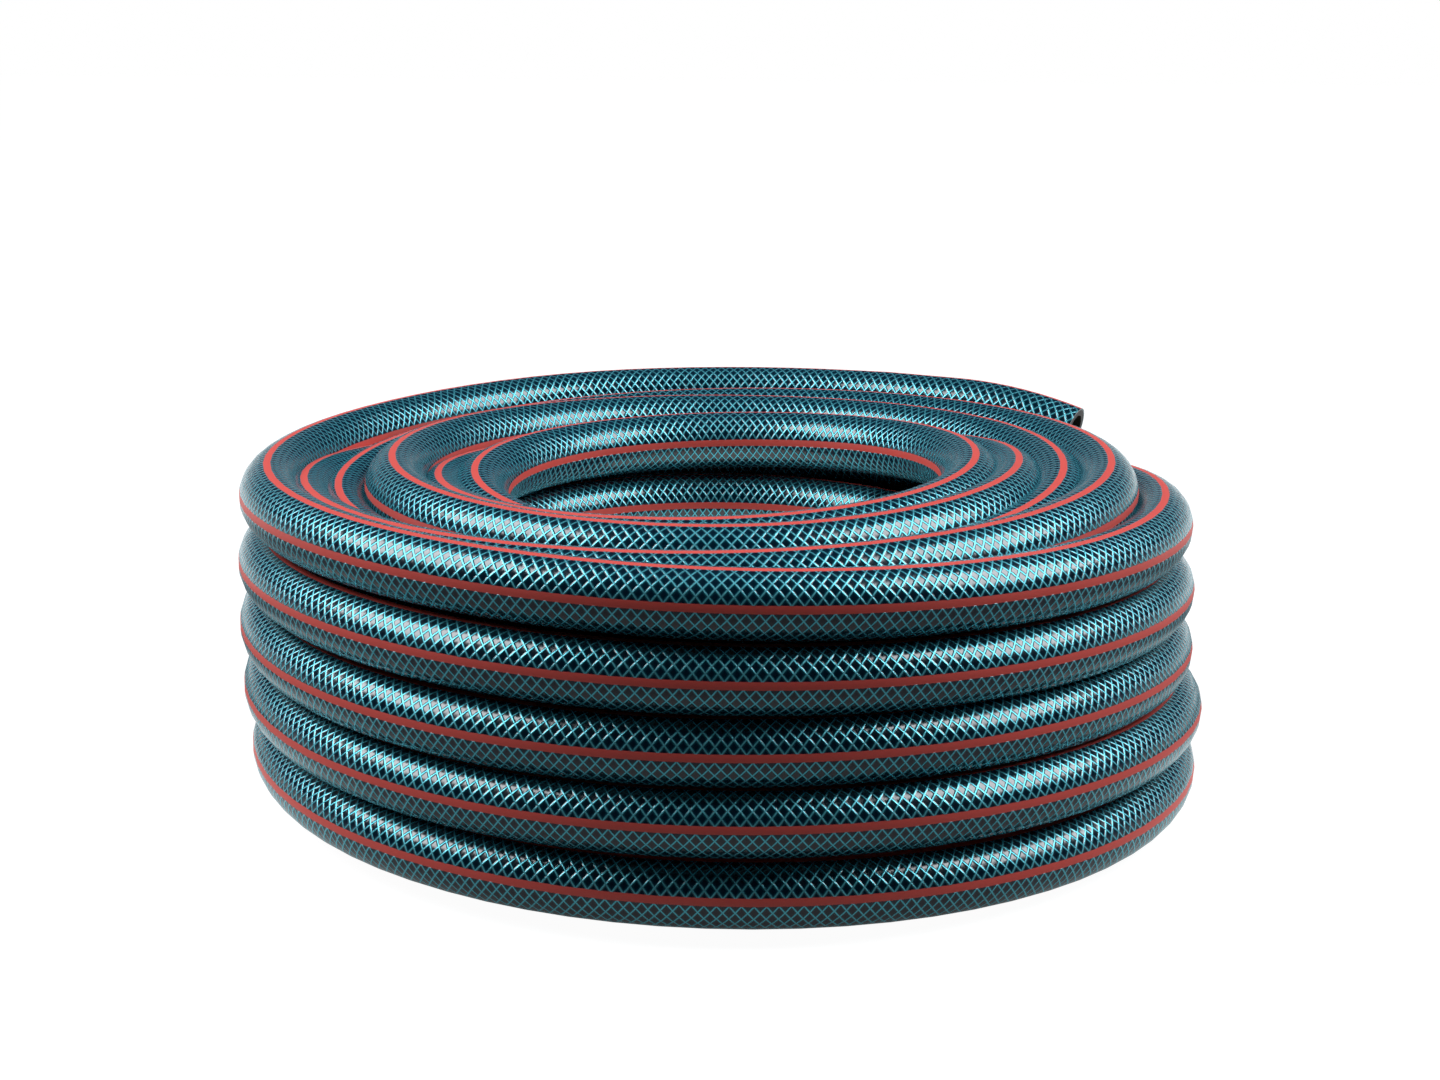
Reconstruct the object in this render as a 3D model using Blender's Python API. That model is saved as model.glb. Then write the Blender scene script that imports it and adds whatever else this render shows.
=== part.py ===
"""Half-inch garden hose wound into a flat coil that lies on the ground.

The coil is one turned ring with an open middle. Its turns show as rounded ribs
on the top, the bottom and the inner wall. The outer layer is a real helix, which
drops by one hose diameter in each turn, and its last turn ends in a short free
stretch with the hose's open bore.
Metres, +Z up, origin under the middle of the coil, on the ground.
"""

import math

import bmesh
import bpy
from mathutils import Vector

# Hose
HOSE_DIAMETER = 0.0174
HOSE_BORE = 0.0126

# Coil
COIL_RADIUS = 0.134          # outside of the outer layer
ROWS = 5                     # turns above one another
COLUMNS = 5                  # turns beside one another
COLUMN_STEP = 0.0124         # neighbouring columns nest into each other
CROWN = 0.0030               # the inner columns stand this much above the outer one
SHOULDER = 0.25              # the ring narrows this far up the top row, in diameters
TURN_GAP = 0.0003            # left between turns that touch

# Lay of the outer layer
STEEP_SHARE = 0.5            # share of the drop that is made at the back right
STEEP_START = -15.0          # degrees anticlockwise from the right side, seen from above
STEEP_END = 72.0
CREST_LIFT = 0.0026          # the top turn bows up by this much at the back
CREST_ENDS = 180.0           # and lies down again here
CREST_FULL = 100.0
TAIL_SWEEP = 35.0            # the lowest turn tucks inwards over this angle

# Free end
END_LEAVES = 64.0            # where the last turn leaves the circle, degrees
END_STRAIGHT = 0.064         # straight stretch beyond that
END_DROOP = 0.0060           # its tip hangs down by this much
DROOP_FROM = 0.024           # along the straight stretch
END_SPLIT = 99.0             # the free end's own solid begins here, degrees

# Facets
STEPS = 40                   # around the coil
SHORTEST_STEP = 0.01         # share of a step, under which two stations are one
SIDES = 12                   # around the hose
END_SIDES = 16               # around the free end
END_STATIONS = 14            # along the free end


hose_radius = HOSE_DIAMETER / 2
lay_radius = COIL_RADIUS - hose_radius
step_angle = 360.0 / STEPS


def clear_scene():
    for obj in list(bpy.data.objects):
        bpy.data.objects.remove(obj, do_unlink=True)


def hose_material():
    material = bpy.data.materials.new("braided_pvc")
    material.use_nodes = True
    shader = material.node_tree.nodes["Principled BSDF"]
    shader.inputs["Base Color"].default_value = (0.018, 0.095, 0.125, 1.0)
    shader.inputs["Roughness"].default_value = 0.35
    shader.inputs["Metallic"].default_value = 0.0
    return material


def ease(share):
    """Runs smoothly from 0 to 1."""
    share = min(max(share, 0.0), 1.0)
    return 0.5 - 0.5 * math.cos(math.pi * share)


def drop_share(angle):
    """Part of one diameter that a turn has dropped at an angle from 0 to 360 degrees."""
    steep_sweep = STEEP_END - STEEP_START
    steep = ease((angle - STEEP_START) / steep_sweep)
    steep += ease((angle - 360.0 - STEEP_START) / steep_sweep)
    steep -= ease(-STEEP_START / steep_sweep)
    return (1.0 - STEEP_SHARE) * angle / 360.0 + STEEP_SHARE * steep


def lay_height(angle):
    """Height of the outer layer's centre line. The angle counts every turn from the top."""
    turn = min(math.floor(angle / 360.0), ROWS - 1)
    drop = turn + min(drop_share(angle - 360.0 * turn), 1.0)
    lift = CREST_LIFT * ease((CREST_ENDS - angle) / (CREST_ENDS - CREST_FULL))
    return (ROWS + 0.5 - drop) * HOSE_DIAMETER + lift


def lay_point(angle):
    """Centre line of the outer layer, whose tail tucks in by one column."""
    tail = ease((angle - 360.0 * ROWS) / TAIL_SWEEP + 0.5)
    radius = lay_radius - COLUMN_STEP * tail
    turned = math.radians(angle)
    return Vector((radius * math.cos(turned), radius * math.sin(turned), lay_height(angle)))


def circle_points(radius, sides):
    """Points round a polygon that has a flat on each axis and this inner radius."""
    corner = radius / math.cos(math.pi / sides)
    turns = [2.0 * math.pi * (k + 0.5) / sides for k in range(sides)]
    return [(corner * math.cos(turn), corner * math.sin(turn)) for turn in turns]


def section(centre, outward, radius, sides):
    """One cross-section: the polygon stands upright, across the hose."""
    return [centre + outward * across + Vector((0, 0, up)) for across, up in circle_points(radius, sides)]


def bridge(mesh, first, second):
    """Quads between two closed rings of vertices."""
    count = len(first)
    for k in range(count):
        after = (k + 1) % count
        mesh.faces.new((first[k], first[after], second[after], second[k]))


def finish(mesh, name, material, smooth_angle=30.0):
    bmesh.ops.recalc_face_normals(mesh, faces=mesh.faces)
    data = bpy.data.meshes.new(name)
    mesh.to_mesh(data)
    mesh.free()
    data.materials.append(material)
    data.shade_smooth()
    data.set_sharp_from_angle(angle=math.radians(smooth_angle))
    obj = bpy.data.objects.new(name, data)
    bpy.context.scene.collection.objects.link(obj)
    return obj


def core_profile():
    """Outline of the turned ring as (radius, height), from the outer foot under and round."""
    flat = hose_radius * math.tan(math.pi / SIDES)
    valley = COLUMN_STEP / 2
    valley_depth = (valley - flat) * math.tan(2.0 * math.pi / SIDES)
    top = ROWS * HOSE_DIAMETER + CROWN
    columns = [lay_radius - COLUMN_STEP * k for k in range(1, COLUMNS)]
    wall = columns[0] + hose_radius
    step_in = lay_radius - hose_radius - TURN_GAP

    outline = [(wall, hose_radius)]
    for radius in columns:
        outline.append((radius + valley, valley_depth))
        outline.append((radius + flat, 0.0))
        outline.append((radius - flat, 0.0))

    # The inner wall shows the innermost column's turns, one rib for each row.
    inner = columns[-1]
    rib_height = top / ROWS
    for row in range(ROWS):
        middle = (row + 0.5) * rib_height
        outline.append((inner - valley, middle - rib_height / 2 + valley_depth))
        outline.append((inner - hose_radius, middle - flat))
        outline.append((inner - hose_radius, middle + flat))
        outline.append((inner - valley, middle + rib_height / 2 - valley_depth))
        if row < ROWS - 1:
            outline.append((inner - valley / 2, middle + rib_height / 2))

    for radius in reversed(columns):
        outline.append((radius - flat, top))
        if radius is not columns[0]:
            outline.append((radius + flat, top))
            outline.append((radius + valley, top - valley_depth))

    # Beside the last turn the ring is narrower, so that the free end lies clear of it.
    shoulder = (ROWS - 1 + SHOULDER) * HOSE_DIAMETER
    outline.append((columns[0] + flat, top))
    outline.append((step_in, top - (step_in - columns[0] - flat) * math.tan(2.0 * math.pi / SIDES)))
    outline.append((step_in, shoulder))
    outline.append((wall, shoulder))
    return outline


def build_core(material):
    mesh = bmesh.new()
    outline = core_profile()
    rings = []
    for k in range(STEPS):
        turned = math.radians(k * step_angle)
        rings.append([mesh.verts.new((r * math.cos(turned), r * math.sin(turned), z)) for r, z in outline])
    for k in range(STEPS):
        bridge(mesh, rings[k], rings[(k + 1) % STEPS])
    return finish(mesh, "hose_coil", material)


def build_outer_layer(material):
    """The helical turns, as one long tube from the split down to the tucked tail."""
    start = END_SPLIT + math.degrees(TURN_GAP / lay_radius)
    end = 360.0 * ROWS + TAIL_SWEEP / 2
    first_step = math.ceil(start / step_angle + SHORTEST_STEP)
    last_step = math.floor(end / step_angle - SHORTEST_STEP)
    angles = [start] + [k * step_angle for k in range(first_step, last_step + 1)] + [end]
    mesh = bmesh.new()
    rings = []
    for angle in angles:
        turned = math.radians(angle)
        outward = Vector((math.cos(turned), math.sin(turned), 0))
        points = section(lay_point(angle), outward, hose_radius - TURN_GAP / 2, SIDES)
        rings.append([mesh.verts.new(point) for point in points])
    for first, second in zip(rings, rings[1:]):
        bridge(mesh, first, second)
    mesh.faces.new(rings[0])
    mesh.faces.new(rings[-1])
    return finish(mesh, "outer_layer_cutter", material)


def join_layers(core, layer):
    union = core.modifiers.new("outer_turns", 'BOOLEAN')
    union.operation = 'UNION'
    union.solver = 'EXACT'
    union.object = layer
    layer.hide_render = True
    layer.display_type = 'WIRE'


def end_route():
    """Centre line of the free end with its outward directions, from the cut face to the split."""
    leave = math.radians(END_LEAVES)
    outward = Vector((math.cos(leave), math.sin(leave), 0))
    along = Vector((math.sin(leave), -math.cos(leave), 0))
    curved = math.radians(END_SPLIT - END_LEAVES) * lay_radius
    total = END_STRAIGHT + curved
    route = []
    for k in range(END_STATIONS + 1):
        run = total * k / END_STATIONS
        if run < END_STRAIGHT:
            beyond = END_STRAIGHT - run
            hanging = max(beyond - DROOP_FROM, 0.0) / (END_STRAIGHT - DROOP_FROM)
            droop = Vector((0, 0, -END_DROOP * hanging ** 2))
            route.append((lay_point(END_LEAVES) + along * beyond + droop, outward))
        else:
            angle = END_LEAVES + math.degrees((run - END_STRAIGHT) / lay_radius)
            turned = math.radians(angle)
            route.append((lay_point(angle), Vector((math.cos(turned), math.sin(turned), 0))))
    return route


def build_end(material):
    """The free end: a tube with the hose's real bore, open at its cut face."""
    mesh = bmesh.new()
    skins = []
    bores = []
    for centre, outward in end_route():
        skin = section(centre, outward, hose_radius - TURN_GAP / 2, END_SIDES)
        bore = section(centre, outward, HOSE_BORE / 2, END_SIDES)
        skins.append([mesh.verts.new(point) for point in skin])
        bores.append([mesh.verts.new(point) for point in bore])
    for rings in (skins, bores):
        for first, second in zip(rings, rings[1:]):
            bridge(mesh, first, second)
    bridge(mesh, skins[0], bores[0])
    bridge(mesh, skins[-1], bores[-1])
    return finish(mesh, "hose_end", material, 40.0)


def main():
    clear_scene()
    material = hose_material()
    core = build_core(material)
    join_layers(core, build_outer_layer(material))
    build_end(material)


main()
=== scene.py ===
import math

import bmesh
import bpy
from mathutils import Matrix, Vector


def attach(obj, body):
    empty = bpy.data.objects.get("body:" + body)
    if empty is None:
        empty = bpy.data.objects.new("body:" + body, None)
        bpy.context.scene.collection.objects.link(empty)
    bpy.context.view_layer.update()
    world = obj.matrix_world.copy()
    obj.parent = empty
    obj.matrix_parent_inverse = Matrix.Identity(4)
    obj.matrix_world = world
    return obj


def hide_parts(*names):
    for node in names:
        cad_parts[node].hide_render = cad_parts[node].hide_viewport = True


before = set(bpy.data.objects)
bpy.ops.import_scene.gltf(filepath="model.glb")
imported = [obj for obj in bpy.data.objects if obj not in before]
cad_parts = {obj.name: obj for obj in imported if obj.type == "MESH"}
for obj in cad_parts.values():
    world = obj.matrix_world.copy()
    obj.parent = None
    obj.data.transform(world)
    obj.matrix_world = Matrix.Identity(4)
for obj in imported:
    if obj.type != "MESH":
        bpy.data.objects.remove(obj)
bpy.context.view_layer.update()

mm = 0.001


# Camera. The angles are the photograph's: a low look over the coil from its front.
camera = {
    "aimHeight": 80.7 * mm,      # middle of the top turn at the front
    "distance": 678.1 * mm,
    "elevation": 12.664,         # degrees above the floor
    "panRight": 0.033,
    "panUp": -1.054,
    "roll": 0.415,               # its right side stands this much too high
    "lens": 59.61,
    "sensor": 36.0,
    "clipStart": 20 * mm,
}


def buildCamera():
    elevation = math.radians(camera["elevation"])
    back = Vector((0, -math.cos(elevation), math.sin(elevation)))
    right = Vector((1, 0, 0))
    up = back.cross(right)
    look = -back
    look += right * math.tan(math.radians(camera["panRight"]))
    look += up * math.tan(math.radians(camera["panUp"]))
    look.normalize()
    right = look.cross(Vector((0, 0, 1))).normalized()
    up = right.cross(look)
    roll = math.radians(camera["roll"])
    rolledRight = right * math.cos(roll) + up * math.sin(roll)
    rolledUp = up * math.cos(roll) - right * math.sin(roll)
    bpy.ops.object.camera_add(location=back * camera["distance"] + Vector((0, 0, camera["aimHeight"])))
    made = bpy.context.object
    made.name = "camera"
    made.data.lens = camera["lens"]
    made.data.sensor_width = camera["sensor"]
    made.data.clip_start = camera["clipStart"]
    made.rotation_euler = Matrix((rolledRight, rolledUp, -look)).transposed().to_euler()
    bpy.context.scene.camera = made
    print("camera placed")


# The hose itself.
hose = {
    "diameter": 17.4 * mm,
    "bore": 12.6 * mm,
    "length": 15.0,
    "sides": 32,
    "boreDepth": 90 * mm,        # how far the bore is modelled in from each cut end
    "stepsPerTurn": 72,
}

# The free end, straight off the outer circle at the back right.
freeEnd = {
    "leaves": 64.0,              # degrees anticlockwise from the right, seen from above
    "straight": 64 * mm,
    "droop": 6.0 * mm,           # its tip hangs down by this much
    "droopFrom": 24 * mm,        # along the straight
    "stations": 14,
}

# Outer layer: the CAD model's own turns, each with the small drift that a hand-wound coil has.
outerLay = {
    "radius": 125.3 * mm,        # from the coil's axis to the middle of the hose
    "rows": 5,
    "columnStep": 12.4 * mm,
    "steepShare": 0.5,           # of each turn's drop, made between these two directions
    "steepStart": -15.0,
    "steepEnd": 72.0,
    "crestLift": 2.6 * mm,       # the top turn bows up at the back
    "crestEnds": 180.0,
    "crestFull": 100.0,
    "tailStart": 1795.0,         # the lowest turn tucks inwards from here, counted from the top turn
    "tailSweep": 45.0,
    # from the back right on, quarter turn by quarter turn: radius in mm, height in diameters
    "drift": (
        (0.0, 0.00), (0.9, 0.00), (-0.9, 0.17), (-1.0, 0.02),
        (-1.8, -0.04), (0.4, 0.00), (0.6, 0.11), (0.0, 0.01),
        (0.0, -0.10), (0.8, 0.10), (0.8, 0.06), (0.3, 0.04),
        (0.3, -0.10), (0.6, 0.10), (0.6, 0.05), (3.0, 0.06),
        (3.8, -0.10), (-0.8, 0.10), (-0.8, 0.03), (2.5, 0.00),
        (2.0, 0.00), (2.0, 0.00),
    ),
    "driftFrom": 45.0,
}

# Inner layers: they lie flat on one another and wind inwards and outwards by turns, from the bottom up.
# The camera hardly sees them. They hold more hose than there is room for, so some turns run through
# each other.
innerLay = {
    # degrees, so that no climb shows on the inner wall's back
    "sweeps": (1273.3, 1273.3, 1273.3, 1030.0),
    "outerRadius": 112.9 * mm,
    "innerRadius": 75.7 * mm,
    "layerStep": 17.75 * mm,
    "climb": 150.0,              # degrees that the hose takes up to its next layer
    "longestDwell": 900.0,       # the most degrees that a layer could stay at its inner radius
    "halvings": 24,              # by which the right dwell is found
}

# Top layer, quarter turn by quarter turn from the back round by the left.
topLay = {
    # radius in mm, height in diameters
    "places": (
        (115.0, 3.75), (115.2, 4.60), (114.6, 4.86), (108.6, 5.00),
        (113.5, 4.76), (106.4, 4.48), (102.5, 4.51), (95.6, 4.90),
        (101.2, 4.76), (91.4, 4.89), (88.4, 4.87), (83.4, 4.92),
        (89.0, 4.20), (78.7, 4.55), (75.7, 4.81), (71.4, 4.98),
        (77.0, 4.69), (68.4, 4.61), (66.5, 4.40),
    ),
    "endAt": 0.75,               # of the last quarter turn
}


def clamp(share):
    return min(max(share, 0.0), 1.0)


def ease(share):
    return 0.5 - 0.5 * math.cos(math.pi * clamp(share))


def polar(radius, angle, height):
    turned = math.radians(angle)
    return Vector((radius * math.cos(turned), radius * math.sin(turned), height))


def smoothBetween(values, place):
    # a curve through the values that keeps their slopes
    k = min(max(int(math.floor(place)), 0), len(values) - 2)
    t = place - k
    before = values[max(k - 1, 0)]
    first, second = values[k], values[k + 1]
    after = values[min(k + 2, len(values) - 1)]
    slopeA = (second - before) / 2
    slopeB = (after - first) / 2
    return ((2 * t ** 3 - 3 * t ** 2 + 1) * first + (t ** 3 - 2 * t ** 2 + t) * slopeA
            + (-2 * t ** 3 + 3 * t ** 2) * second + (t ** 3 - t ** 2) * slopeB)


def outerHeight(angle):
    # the drop is made evenly round the turn, and the steep share of it at the back right
    steepSweep = outerLay["steepEnd"] - outerLay["steepStart"]
    turn = min(math.floor(angle / 360.0), outerLay["rows"] - 1)
    local = angle - 360.0 * turn
    steep = ease((local - outerLay["steepStart"]) / steepSweep)
    steep += ease((local - 360.0 - outerLay["steepStart"]) / steepSweep)
    steep -= ease(-outerLay["steepStart"] / steepSweep)
    drop = (1.0 - outerLay["steepShare"]) * local / 360.0 + outerLay["steepShare"] * steep
    crestSweep = outerLay["crestEnds"] - outerLay["crestFull"]
    lift = outerLay["crestLift"] * ease((outerLay["crestEnds"] - angle) / crestSweep)
    return (outerLay["rows"] + 0.5 - turn - min(drop, 1.0)) * hose["diameter"] + lift


def outerPoint(angle):
    # never lower than on the floor
    tail = ease((angle - outerLay["tailStart"]) / outerLay["tailSweep"])
    place = (angle - outerLay["driftFrom"]) / 90.0
    driftOut = smoothBetween([out for out, up in outerLay["drift"]], place) * mm
    driftUp = smoothBetween([up for out, up in outerLay["drift"]], place) * hose["diameter"]
    radius = outerLay["radius"] - outerLay["columnStep"] * tail + driftOut
    height = outerHeight(angle) + driftUp
    return polar(radius, angle, max(height, hose["diameter"] / 2))


def freeEndPoints():
    leaves = freeEnd["leaves"]
    straight = freeEnd["straight"]
    along = Vector((math.sin(math.radians(leaves)), -math.cos(math.radians(leaves)), 0))
    points = []
    for k in range(freeEnd["stations"]):
        beyond = straight * (1 - k / freeEnd["stations"])
        hanging = max(beyond - freeEnd["droopFrom"], 0.0) / (straight - freeEnd["droopFrom"])
        droop = Vector((0, 0, -freeEnd["droop"] * hanging ** 2))
        points.append(outerPoint(leaves) + along * beyond + droop)
    return points


def hoseRoute(dwell):
    # dwell: degrees that each inner layer stays at its inner radius
    step = 360.0 / hose["stepsPerTurn"]
    radii = [radius * mm for radius, height in topLay["places"]]
    heights = [height * hose["diameter"] for radius, height in topLay["places"]]
    points = freeEndPoints()
    angle = freeEnd["leaves"]

    # outer turns, from the top row to the floor
    start = outerLay["tailStart"] + outerLay["tailSweep"]
    while angle < start:
        points.append(outerPoint(angle))
        angle += step
    radius = outerPoint(start).xy.length
    height = hose["diameter"] / 2

    def wind(sweep, toRadius, toHeight, shareDone):
        # from the last place to the next one, where shareDone tells how far the hose has come
        nonlocal angle, start, radius, height
        while angle < start + sweep:
            share = shareDone(angle - start)
            points.append(polar(radius + (toRadius - radius) * share, angle,
                                height + (toHeight - height) * share))
            angle += step
        start += sweep
        radius, height = toRadius, toHeight

    # inner layers, each a flat spiral with a climb to the next one
    for layer, sweep in enumerate(innerLay["sweeps"]):
        inwards = layer % 2 == 0
        wait = 0.0 if inwards else dwell
        toRadius = innerLay["innerRadius"] if inwards else innerLay["outerRadius"]
        wind(sweep, toRadius, height, lambda gone: clamp((gone - wait) / (sweep - dwell)))
        nextRadius, nextHeight = radius, height + innerLay["layerStep"]
        if layer == len(innerLay["sweeps"]) - 1:
            nextRadius, nextHeight = radii[0], heights[0]
        wind(innerLay["climb"], nextRadius, nextHeight, lambda gone: ease(gone / innerLay["climb"]))

    # top layer, from the back
    places = len(radii) - 2 + topLay["endAt"]
    while angle < start + 90.0 * places:
        place = (angle - start) / 90.0
        points.append(polar(smoothBetween(radii, place), angle, smoothBetween(heights, place)))
        angle += step
    return points


def routeLength(points):
    return sum((b - a).length for a, b in zip(points, points[1:]))


def fittedRoute():
    # the inner layers stay inside for as long as makes the hose its real length
    low, high = 0.0, innerLay["longestDwell"]
    for k in range(innerLay["halvings"]):
        middle = (low + high) / 2
        if routeLength(hoseRoute(middle)) > hose["length"]:
            low = middle
        else:
            high = middle
    points = hoseRoute(high)
    length = round(routeLength(points), 3)
    print("hose length", length, "m in", len(points), "stations; dwell", round(high, 1))
    return points


def buildHose(points, materials):
    # materials: the skin, the cut faces and the bore's lining
    skinSlot, cutSlot, liningSlot = range(len(materials))
    vertices = []
    faces = []
    corners = []
    slots = []
    last = len(points) - 1
    runs = [0.0]
    for a, b in zip(points, points[1:]):
        runs.append(runs[-1] + (b - a).length)

    def addRing(k, radius):
        along = (points[min(k + 1, last)] - points[max(k - 1, 0)]).normalized()
        outward = along.cross(Vector((0, 0, 1))).normalized()
        up = outward.cross(along)
        first = len(vertices)
        for j in range(hose["sides"]):
            turned = 2 * math.pi * j / hose["sides"]
            vertices.append(points[k] + (outward * math.cos(turned) + up * math.sin(turned)) * radius)
        return range(first, len(vertices))

    def joinRings(first, second, fromRun, toRun, slot):
        for j in range(hose["sides"]):
            n = (j + 1) % hose["sides"]
            v, w = j / hose["sides"], (j + 1) / hose["sides"]
            faces.append((first[j], second[j], second[n], first[n]))
            corners.extend(((fromRun, v), (toRun, v), (toRun, w), (fromRun, w)))
            slots.append(slot)

    outside = [addRing(k, hose["diameter"] / 2) for k in range(len(points))]
    for k in range(last):
        joinRings(outside[k], outside[k + 1], runs[k], runs[k + 1], skinSlot)

    # each end: the cut face, the bore and the bore's end wall
    for order in (range(last + 1), range(last, -1, -1)):
        end = order[0]
        deep = [k for k in order if abs(runs[k] - runs[end]) < hose["boreDepth"]]
        inside = [addRing(k, hose["bore"] / 2) for k in deep]
        joinRings(outside[end], inside[0], 0.0, 1.0, cutSlot)
        for k in range(len(deep) - 1):
            joinRings(inside[k], inside[k + 1], runs[deep[k]], runs[deep[k + 1]], liningSlot)
        faces.append(tuple(inside[-1]))
        corners.extend((runs[deep[-1]], j / hose["sides"]) for j in range(hose["sides"]))
        slots.append(liningSlot)

    mesh = bpy.data.meshes.new("hose")
    mesh.from_pydata([tuple(v) for v in vertices], [], faces)
    layer = mesh.uv_layers.new(name="lay")
    for loop, corner in enumerate(corners):
        layer.data[loop].uv = corner
    for material in materials:
        mesh.materials.append(material)
    mesh.polygons.foreach_set("material_index", slots)
    mesh.polygons.foreach_set("use_smooth", [slot != cutSlot for slot in slots])
    edit = bmesh.new()
    edit.from_mesh(mesh)
    bmesh.ops.recalc_face_normals(edit, faces=edit.faces)
    for edge in edit.edges:
        # rims between two materials are sharp
        edge.smooth = len({face.material_index for face in edge.link_faces}) == 1
    edit.to_mesh(mesh)
    edit.free()
    mesh.update()
    obj = bpy.data.objects.new("hose", mesh)
    bpy.context.scene.collection.objects.link(obj)
    print("hose built:", len(mesh.polygons), "faces")
    return obj


def linear(hexColour):
    parts = [int(hexColour[k:k + 2], 16) / 255 for k in (1, 3, 5)]
    return tuple(p / 12.92 if p <= 0.04045 else ((p + 0.055) / 1.055) ** 2.4 for p in parts) + (1.0,)


def newMaterial(name):
    material = bpy.data.materials.new(name)
    material.use_nodes = True
    return material, material.node_tree, material.node_tree.nodes["Principled BSDF"]


def addNode(tree, kind, settings=(), inputs=()):
    # inputs are (socket, value), where a value is a number, a colour or another node's output
    node = tree.nodes.new(kind)
    for name, value in settings:
        setattr(node, name, value)
    for socket, value in inputs:
        if isinstance(value, bpy.types.NodeSocket):
            tree.links.new(value, node.inputs[socket])
        else:
            node.inputs[socket].default_value = value
    return node


def maths(tree, operation, first, second=0.0):
    return addNode(tree, "ShaderNodeMath", [("operation", operation)], [(0, first), (1, second)]).outputs[0]


def ramp(tree, value, span, result=(0.0, 1.0), curve="SMOOTHSTEP"):
    # goes from one result to the other while the value goes through the span
    inputs = [("Value", value), ("From Min", span[0]), ("From Max", span[1]),
              ("To Min", result[0]), ("To Max", result[1])]
    return addNode(tree, "ShaderNodeMapRange", [("interpolation_type", curve)], inputs).outputs[0]


def mixNumber(tree, share, under, over):
    return addNode(tree, "ShaderNodeMix", (), [(0, share), (2, under), (3, over)]).outputs[0]


def mixColour(tree, share, under, over):
    inputs = [(0, share), (6, under), (7, over)]
    return addNode(tree, "ShaderNodeMix", [("data_type", "RGBA")], inputs).outputs[2]


def noise(tree, place, scale, detail):
    inputs = [("Vector", place), ("Scale", scale), ("Detail", detail)]
    return addNode(tree, "ShaderNodeTexNoise", (), inputs).outputs[0]


def axesOf(tree, place):
    return addNode(tree, "ShaderNodeSeparateXYZ", (), [(0, place)]).outputs


def layOf(tree):
    # x is metres along the hose, or the share of the wall on a cut face, and y goes round the hose
    return addNode(tree, "ShaderNodeUVMap", [("uv_map", "lay")]).outputs[0]


def fromMiddle(tree, value):
    # how far a value that counts in units is from the middle of its unit
    return maths(tree, "ABSOLUTE", maths(tree, "SUBTRACT", maths(tree, "FRACT", value), 0.5))


# Braided PVC hose, extruded: a clear glossy skin over a dark tube, with a net of polyester yarn between.
# To the eye that is a near-black blue ground, bright cyan yarns with a teal glow beside them, and a gloss
# that breaks up over the net, because the skin stands up a little over each yarn.
braid = {
    "ground": "#021a28",
    "glow": "#064250",
    "yarn": "#6cd2e1",
    "stripe": "#d2483d",
    "pitch": 2.78 * mm,          # one mesh of the net, along the hose
    "yarns": 15,                 # in each direction
    "yarnWidth": 0.34 * mm,
    "yarnSoftness": 0.5,         # of its edges, as a share of half its width
    "glowWidth": 0.78 * mm,
    "glowSoftness": 0.8,
    "yarnRelief": 0.09 * mm,     # a yarn's round back
    "yarnSpread": 1.3,           # that back is this many yarn widths wide
    "skinRelief": 0.015 * mm,    # the skin's swell over it, as wide as the glow
    "reliefSoftness": 1.0,
    "yarnSheen": 0.92,           # how far a yarn shines like a metal
    "stripes": (6.0, 84.0, 175.5, 266.0),   # degrees from the outside, over the top
    "stripeWidth": 2.0 * mm,
    "stripeEdge": (1.12, 0.9),   # no stripe and full stripe, in half widths from its middle
    "roughness": (0.12, 0.2),
    "yarnRoughness": 0.4,
    "stripeRoughness": 0.5,
    "cloudScale": 60.0,          # patches of slightly duller skin, 17 mm apart
    "cloudDetail": 2.0,
    "cloudSpan": (0.3, 0.7),
    "refraction": 1.53,
    "specular": 0.75,
}


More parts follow.
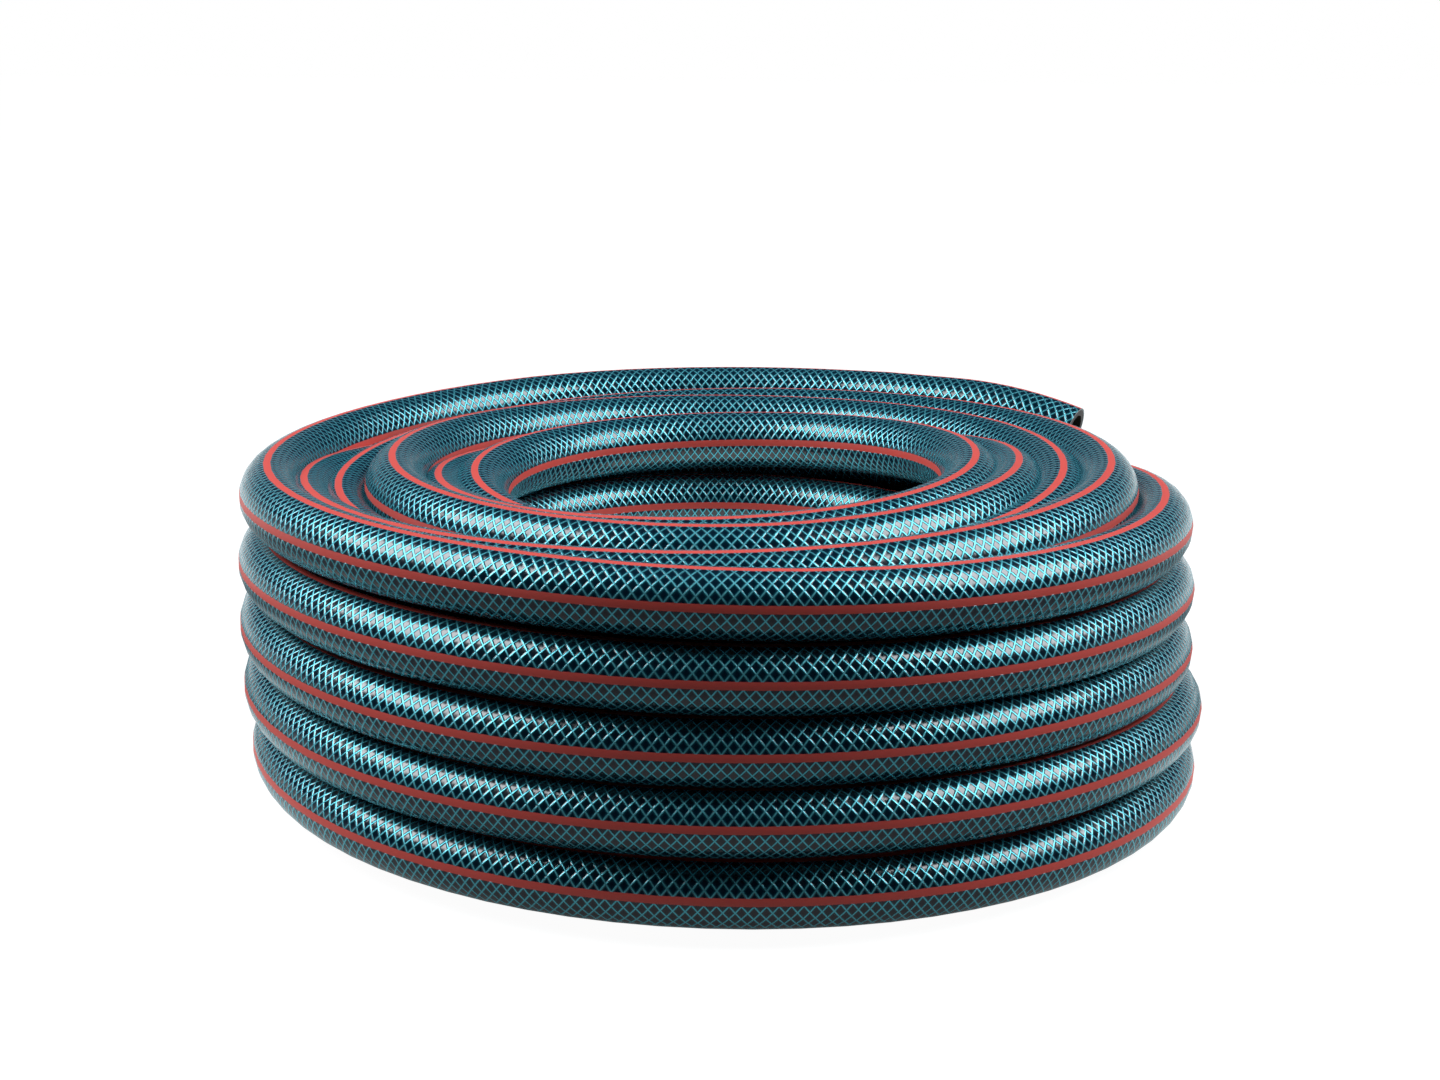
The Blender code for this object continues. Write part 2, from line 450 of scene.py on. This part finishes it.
def skinMaterial():
    material, tree, shader = newMaterial("extrudedPvcOverBraid")
    lay = axesOf(tree, layOf(tree))
    girth = math.pi * hose["diameter"]

    # two families of yarn cross each other, and widths count from a yarn's middle
    meshes = maths(tree, "DIVIDE", lay[0], braid["pitch"])
    turns = maths(tree, "MULTIPLY", lay[1], braid["yarns"])
    perMetre = math.hypot(1 / braid["pitch"], braid["yarns"] / girth)
    families = [fromMiddle(tree, maths(tree, way, meshes, turns)) for way in ("ADD", "SUBTRACT")]
    nearest = maths(tree, "MINIMUM", *families)

    def band(width, softness):
        half = width / 2 * perMetre
        return ramp(tree, nearest, (half * (1 + softness), half * (1 - softness)))

    yarn = band(braid["yarnWidth"], braid["yarnSoftness"])
    glow = band(braid["glowWidth"], braid["glowSoftness"])

    # a stripe's middle is brought to the middle of the turn, and a whole turn keeps the sum above zero
    stripeMask = None
    half = braid["stripeWidth"] / girth / 2
    for degrees in braid["stripes"]:
        away = fromMiddle(tree, maths(tree, "ADD", lay[1], 1.5 - degrees / 360))
        stripe = ramp(tree, away, [half * edge for edge in braid["stripeEdge"]])
        stripeMask = stripe if stripeMask is None else maths(tree, "MAXIMUM", stripeMask, stripe)

    ground = mixColour(tree, glow, linear(braid["ground"]), linear(braid["glow"]))
    netted = mixColour(tree, yarn, ground, linear(braid["yarn"]))
    striped = mixColour(tree, stripeMask, netted, linear(braid["stripe"]))
    tree.links.new(striped, shader.inputs["Base Color"])

    place = addNode(tree, "ShaderNodeTexCoord").outputs["Object"]
    cloud = noise(tree, place, braid["cloudScale"], braid["cloudDetail"])
    dull = ramp(tree, cloud, braid["cloudSpan"], braid["roughness"], "LINEAR")
    bare = maths(tree, "SUBTRACT", 1.0, stripeMask)
    shiny = maths(tree, "MULTIPLY", yarn, bare)
    netRough = mixNumber(tree, shiny, dull, braid["yarnRoughness"])
    rough = mixNumber(tree, stripeMask, netRough, braid["stripeRoughness"])
    tree.links.new(rough, shader.inputs["Roughness"])
    tree.links.new(maths(tree, "MULTIPLY", shiny, braid["yarnSheen"]), shader.inputs["Metallic"])

    # relief in millimetres, none under the stripes
    wide = braid["yarnWidth"] * braid["yarnSpread"]
    softness = braid["reliefSoftness"]
    back = maths(tree, "MULTIPLY", band(wide, softness), braid["yarnRelief"] / mm)
    swell = maths(tree, "MULTIPLY", band(braid["glowWidth"], softness), braid["skinRelief"] / mm)
    relief = maths(tree, "MULTIPLY", maths(tree, "ADD", back, swell), bare)
    inputs = [("Height", relief), ("Strength", 1.0), ("Distance", 1 * mm)]
    bump = addNode(tree, "ShaderNodeBump", (), inputs)
    tree.links.new(bump.outputs[0], shader.inputs["Normal"])
    shader.inputs["IOR"].default_value = braid["refraction"]
    shader.inputs["Specular IOR Level"].default_value = braid["specular"]
    return material


# Freshly cut PVC: the clear skin shows as a thin pale rim round the dark tube.
cutWall = {
    "skin": "#8d9a9c",
    "tube": "#1f1b16",
    "edge": (0.15, 0.3),         # from skin to tube, in shares of the wall from the outside
    "roughness": 0.55,
}


def cutMaterial():
    material, tree, shader = newMaterial("cutPvcWall")
    inner = ramp(tree, axesOf(tree, layOf(tree))[0], cutWall["edge"])
    wall = mixColour(tree, inner, linear(cutWall["skin"]), linear(cutWall["tube"]))
    tree.links.new(wall, shader.inputs["Base Color"])
    shader.inputs["Roughness"].default_value = cutWall["roughness"]
    return material


# The bore of an extruded tube: smooth, dark and a little dusty.
lining = {
    "tube": "#1c1a15",
    "dust": "#2e2b22",
    "dustScale": 60.0,
    "dustDetail": 3.0,
    "roughness": 0.4,
}


def liningMaterial():
    material, tree, shader = newMaterial("extrudedPvcBore")
    dust = noise(tree, layOf(tree), lining["dustScale"], lining["dustDetail"])
    colour = mixColour(tree, dust, linear(lining["tube"]), linear(lining["dust"]))
    tree.links.new(colour, shader.inputs["Base Color"])
    shader.inputs["Roughness"].default_value = lining["roughness"]
    return material


# Studio: a sweep of matt paper that the camera sees as white, and walls that are bright behind the coil
# and dark on the camera's side, under one large soft lamp and two smaller ones.
studio = {
    "white": "#ffffff",
    "floorSize": 8.0,
    "floorColour": "#686868",
    "floorRoughness": 0.9,
    "floorGlow": (0.96, 1.0),    # lifts the floor to white in the picture, beside the coil and far off
    "glowReach": (0.2, 0.9),     # metres from the coil's axis
    "floorShine": (0.0, 1.2),    # the lit floor behind the coil, as the coil sees it
    "shineFrom": (0.1, 0.4),     # metres along y
    "footShine": (0.14, 0.95),   # and the floor close round its foot, in front and at its sides
    "footFrom": (-0.13, 0.0),    # metres along y
    "footReach": (0.24, 0.14),   # metres from the coil's axis, where it ends and where it is full
    "walls": (0.01, 0.6),        # brightness on the camera's side and behind the coil
    "wallsFrom": (-0.2, 0.5),    # their directions, as the y of a ray
    "above": (1.0, 0.08),        # share of it that is left at the horizon and above it
    "aboveFrom": (0.03, 0.26),   # as the z of a ray
    "aboveColour": "#86a8f0",
    "aim": 50 * mm,              # height on the coil's axis that the lamps point at
    "lights": (
        # name, place, size, watts, colour, whether the gloss shows it
        ("overhead", (0.0, 0.42, 1.0), (1.6, 1.2), 6.0, "#e2f1ff", False),
        ("left", (-0.74, -0.04, 0.82), (0.62, 0.68), 11.0, "#f6fbff", True),
        ("right", (0.74, -0.04, 0.82), (0.62, 0.68), 10.5, "#f6fbff", True),
    ),
}


def buildFloor():
    # the camera sees the glow, and the hose's gloss the shine
    bpy.ops.mesh.primitive_plane_add(size=studio["floorSize"])
    floor = bpy.context.object
    floor.name = "floor"
    material, tree, shader = newMaterial("paperSweep")
    shader.inputs["Base Color"].default_value = linear(studio["floorColour"])
    shader.inputs["Roughness"].default_value = studio["floorRoughness"]
    shader.inputs["Specular IOR Level"].default_value = 0.0
    shader.inputs["Emission Color"].default_value = linear(studio["white"])
    place = addNode(tree, "ShaderNodeTexCoord").outputs["Object"]
    away = addNode(tree, "ShaderNodeVectorMath", [("operation", "LENGTH")], [(0, place)]).outputs["Value"]
    behind = axesOf(tree, place)[1]
    glow = ramp(tree, away, studio["glowReach"], studio["floorGlow"])
    shine = ramp(tree, behind, studio["shineFrom"], studio["floorShine"])
    foot = ramp(tree, behind, studio["footFrom"], studio["footShine"])
    near = ramp(tree, away, studio["footReach"])
    lit = maths(tree, "MAXIMUM", shine, maths(tree, "MULTIPLY", foot, near))
    seen = addNode(tree, "ShaderNodeLightPath").outputs["Is Camera Ray"]
    tree.links.new(mixNumber(tree, seen, lit, glow), shader.inputs["Emission Strength"])
    floor.data.materials.append(material)
    print("floor laid")


def buildWorld():
    world = bpy.data.worlds.new("studio")
    bpy.context.scene.world = world
    world.use_nodes = True
    tree = world.node_tree
    walls = tree.nodes["Background"]
    ray = axesOf(tree, addNode(tree, "ShaderNodeTexCoord").outputs["Generated"])
    shade = ramp(tree, ray[1], studio["wallsFrom"], studio["walls"])
    left = ramp(tree, ray[2], studio["aboveFrom"], studio["above"])
    seen = addNode(tree, "ShaderNodeLightPath").outputs["Is Camera Ray"]
    strength = maths(tree, "MAXIMUM", maths(tree, "MULTIPLY", shade, left), seen)
    tree.links.new(strength, walls.inputs["Strength"])
    tint = mixColour(tree, left, linear(studio["aboveColour"]), linear(studio["white"]))
    tree.links.new(mixColour(tree, seen, tint, linear(studio["white"])), walls.inputs["Color"])
    print("walls set up")


def buildLights():
    aim = Vector((0, 0, studio["aim"]))
    for name, place, size, watts, colour, shows in studio["lights"]:
        bpy.ops.object.light_add(type="AREA", location=place)
        lamp = bpy.context.object
        lamp.name = name
        lamp.data.shape = "RECTANGLE"
        lamp.data.size, lamp.data.size_y = size
        lamp.data.energy = watts
        lamp.data.color = linear(colour)[:3]
        lamp.visible_glossy = shows
        lamp.rotation_euler = (aim - Vector(place)).to_track_quat("-Z", "Y").to_euler()
    print("studio lit")


bpy.context.scene.view_settings.view_transform = "Standard"
buildCamera()
bpy.ops.object.select_all(action="DESELECT")
route = fittedRoute()
hoseObject = buildHose(route, (skinMaterial(), cutMaterial(), liningMaterial()))
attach(hoseObject, "root")
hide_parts("hose_coil", "hose_end")
buildFloor()
buildWorld()
buildLights()
